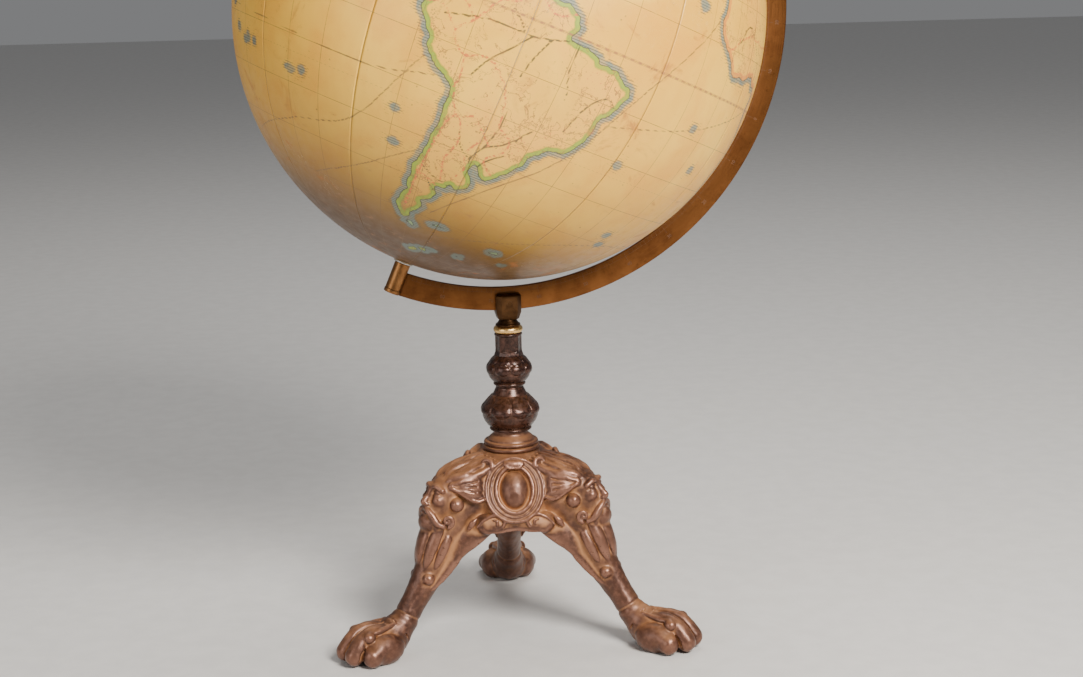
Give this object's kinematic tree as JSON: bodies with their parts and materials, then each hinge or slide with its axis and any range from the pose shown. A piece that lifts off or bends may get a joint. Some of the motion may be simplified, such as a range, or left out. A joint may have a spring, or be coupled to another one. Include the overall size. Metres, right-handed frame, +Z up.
{
  "type": "terrestrial table globe on stand",
  "caption": "Terrestrial table globe turning on a tilted axis in a brass half meridian, on a turned column and a cast tripod with masks and lion paws.",
  "frame": {"origin": "on the floor, on the column's axis, in the plane of the three paw soles", "axes": "+Z up along the column; the rear leg points to +Y, the plain front between two legs faces -Y; the globe's north pole leans towards +X"},
  "size_m": [0.3371, 0.318, 0.5631],
  "materials": {
    "iron_base": "red-brown bronzed patina, ochre in the recesses, rubbed high spots",
    "iron_column": "darker glossy red-brown patina",
    "brass": "old copper-coloured lacquered brass, satin",
    "bright_brass": "polished",
    "steel": "dull, slightly rusty",
    "washer_metal": "grey, matte",
    "map_paper": "aged varnished paper with a printed and hand-tinted map",
    "plaster": "matte white plaster",
    "pulp_board": "matte",
    "post_wood": "turned, unfinished",
    "linen": "glued linen strip"
  },
  "bodies": {
    "stand": {"tripod_base": "iron_base", "base_collar": "iron_base", "lower_knop": "iron_column", "upper_knop": "iron_column", "column_shaft": "iron_column", "bearing_ring": "bright_brass", "tie_rod": "steel", "tie_washer": "steel", "tie_nut": "steel"},
    "meridian": {"ring_clamp": "brass", "clamp_pin": "steel", "meridian_ring": "brass", "south_sleeve": "brass", "north_sleeve": "brass", "south_washer": "washer_metal", "north_washer": "washer_metal"},
    "globe": {"south_pivot_pin": "steel", "north_pivot_screw": "brass", "axle_post": "post_wood", "globe_shell_south": "pulp_board", "globe_shell_north": "pulp_board", "seam_tape": "linen", "plaster_coat": "plaster", "map_gores": "map_paper", "polar_caps": "map_paper", "shell_tacks": "steel"}
  },
  "joints": [
    {"name": "meridian_swivel", "type": "hinge", "parent": "stand", "child": "meridian", "pos_m": [0, 0, 0.1944], "axis": [0, 0, 1], "continuous": true},
    {"name": "globe_spin", "type": "hinge", "parent": "meridian", "child": "globe", "pos_m": [0, 0, 0.3842], "axis": [0.3941, 0.0607, 0.9171], "continuous": true}
  ]
}
